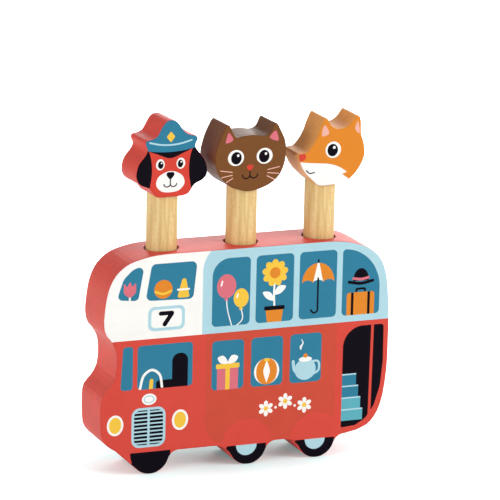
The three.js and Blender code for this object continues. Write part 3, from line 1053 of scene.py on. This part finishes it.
def make_spring(animal):
    """A compression spring that stands in its bore."""
    low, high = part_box(f"{animal}_spring")
    height = (high.z - low.z) / MM
    radius = (high.x - low.x - SPRING_WIRE * MM) / MM / 2
    line = spring_line(height, radius)
    shape = bmesh.new()
    rings = []
    for i, (point, side) in enumerate(line):
        ahead = (line[min(i + 1, len(line) - 1)][0] - line[max(i - 1, 0)][0]).normalized()
        across = ahead.cross(side).normalized()
        ring = []
        for k in range(WIRE_SIDES):
            angle = math.tau * k / WIRE_SIDES
            spoke = side * math.cos(angle) + across * math.sin(angle)
            ring.append(shape.verts.new(point + spoke * SPRING_WIRE / 2))
        rings.append(ring)
    for near, far in zip(rings, rings[1:]):
        for k in range(WIRE_SIDES):
            n = (k + 1) % WIRE_SIDES
            shape.faces.new((near[k], near[n], far[n], far[k])).smooth = True
    shape.faces.new(rings[0][::-1])
    shape.faces.new(rings[-1])
    mesh = finished(f"{animal}_coil", shape)
    mesh.transform(Matrix.Translation((centre_of(f"{animal}_dowel"), 0, low.z)) @ Matrix.Scale(MM, 4))
    return new_piece(f"{animal}_coil_spring", mesh, [STEEL])


def seat(piece, node, body):
    """The piece stands for a CAD node, which it hides, and moves with its body."""
    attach(piece, body)
    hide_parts(node)


seat(make_bus(), "bus_body", "bus")
for animal, (layout, side_colour) in ANIMALS.items():
    seat(make_head(animal, layout(), side_colour), f"{animal}_head", f"{animal}_top")
    seat(make_peg(animal), f"{animal}_dowel", f"{animal}_peg")
    spring = make_spring(animal)
    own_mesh(spring)
    seat(spring, f"{animal}_spring", f"{animal}_coil")


# Camera, fitted to the photograph

CAMERA_TARGET = Vector((7.64, -0.75, 138.93)) * MM
CAMERA_AZIMUTH = math.radians(-22.268)
CAMERA_ELEVATION = math.radians(14.333)
CAMERA_ROLL = math.radians(1.297)
CAMERA_DISTANCE = 2.38187
CAMERA_LENS = 265.49


def make_camera():
    data = bpy.data.cameras.new("camera")
    data.lens = CAMERA_LENS
    data.clip_start = 0.05
    data.clip_end = 50
    camera = bpy.data.objects.new("camera", data)
    bpy.context.scene.collection.objects.link(camera)
    tilt = math.pi / 2 - CAMERA_ELEVATION
    turned = Matrix.Rotation(CAMERA_AZIMUTH, 3, "Z") @ Matrix.Rotation(tilt, 3, "X")
    rotation = turned @ Matrix.Rotation(CAMERA_ROLL, 3, "Z")
    back = rotation @ Vector((0, 0, 1))
    camera.matrix_world = Matrix.Translation(CAMERA_TARGET + back * CAMERA_DISTANCE) @ rotation.to_4x4()
    bpy.context.scene.camera = camera


# Studio

WHITE = (1, 1, 1, 1)
AMBIENT = 0.32
LAMP_AIM = Vector((0, 0, 0.1))
LAMPS = [  # name, place, size in metres and power in watts
    ("right", (1.35, -1.25, 1.00), 1.3, 28),
    ("left", (-1.80, -0.70, 0.60), 1.2, 17),
    ("back", (0.85, 1.70, 0.76), 1.4, 21),
]
FLOOR_REACH = 8  # metres to each side
FLOOR_COLOUR = (0.85, 0.85, 0.85, 1)
FLOOR_SEEN = (0.92, 1, 1, 1)  # its colour to the camera, in which the object's shadow shows; a little less red, as painted shade that takes out the red light the toy throws on the floor
FLOOR_LIFT = (0.02, 0.16, 0.16, 1)  # what the camera sees added to it close to the toy
FADE_LENGTH_SHARE = 0.45  # the fade to white reaches further along the bus than across it
FADE_START = 0.002
FADE_END = 0.113


def lamp(name, place, size, power):
    """A soft square lamp that faces the toy."""
    data = bpy.data.lights.new(name, "AREA")
    data.size = size
    data.energy = power
    made = bpy.data.objects.new(name, data)
    bpy.context.scene.collection.objects.link(made)
    made.location = place
    made.rotation_euler = (LAMP_AIM - Vector(place)).to_track_quat("-Z", "Y").to_euler()


def backdrop_factor(nodes):
    """1 for rays that should see the white backdrop: from the camera, mirrored or through glass."""
    path = nodes.node("ShaderNodeLightPath").outputs
    factor = path["Is Camera Ray"]
    for ray in ("Is Glossy Ray", "Is Transmission Ray"):
        inputs = {0: factor, 1: path[ray]}
        factor = nodes.node("ShaderNodeMath", inputs, operation="MAXIMUM").outputs[0]
    return factor


def make_world():
    """Even light all round, which the camera sees as white."""
    world = bpy.data.worlds.new("studio")
    bpy.context.scene.world = world
    sky = Nodes(world)
    light = sky.nodes["Background"]
    light.inputs["Color"].default_value = WHITE
    light.inputs["Strength"].default_value = AMBIENT
    white = sky.node("ShaderNodeBackground", {"Color": WHITE})
    inputs = {0: backdrop_factor(sky), 1: light.outputs[0], 2: white.outputs[0]}
    mix = sky.node("ShaderNodeMixShader", inputs)
    sky.feed(sky.nodes["World Output"].inputs["Surface"], mix.outputs[0])


def mixed(finish, factor, first, second):
    """The first colour where the factor is 0 and the second where it is 1."""
    mix = finish.node("ShaderNodeMix", {"Factor": factor}, data_type="RGBA")
    near, far = [socket for socket in mix.inputs if socket.type == "RGBA"]
    near.default_value = first
    far.default_value = second
    return next(socket for socket in mix.outputs if socket.type == "RGBA")


def distance_factor(finish):
    """0 on the floor close round the toy and 1 away from it."""
    inputs = {"Vector": finish.place, "Scale": (FADE_LENGTH_SHARE, 1, 1)}
    place = finish.node("ShaderNodeMapping", inputs).outputs[0]
    away = finish.node("ShaderNodeVectorMath", {0: place}, operation="LENGTH").outputs["Value"]
    inputs = {"Value": away, "From Min": FADE_START, "From Max": FADE_END}
    return finish.node("ShaderNodeMapRange", inputs, interpolation_type="SMOOTHSTEP").outputs[0]


def make_floor():
    """A pale floor. Away from the toy the camera sees it white. Close to the toy it keeps the shadow,
    with less of a lift in red, because the toy throws red light on the floor beside it."""
    shape = bmesh.new()
    bmesh.ops.create_grid(shape, x_segments=1, y_segments=1, size=FLOOR_REACH)
    mesh = finished("floor", shape)
    finish = Finish("floor")
    seen = backdrop_factor(finish)
    finish.set(Base_Color=mixed(finish, seen, FLOOR_COLOUR, FLOOR_SEEN))
    finish.set(Roughness=0.9, Specular_IOR_Level=0.1)
    glow = mixed(finish, distance_factor(finish), FLOOR_LIFT, WHITE)
    lift = finish.node("ShaderNodeEmission", {"Color": glow, "Strength": seen})
    total = finish.node("ShaderNodeAddShader", {0: finish.shader.outputs[0], 1: lift.outputs[0]})
    finish.feed(finish.nodes["Material Output"].inputs["Surface"], total.outputs[0])
    new_piece("floor", mesh, [finish.material])


make_camera()
make_world()
make_floor()
for settings in LAMPS:
    lamp(*settings)
bpy.context.scene.view_settings.view_transform = "Standard"
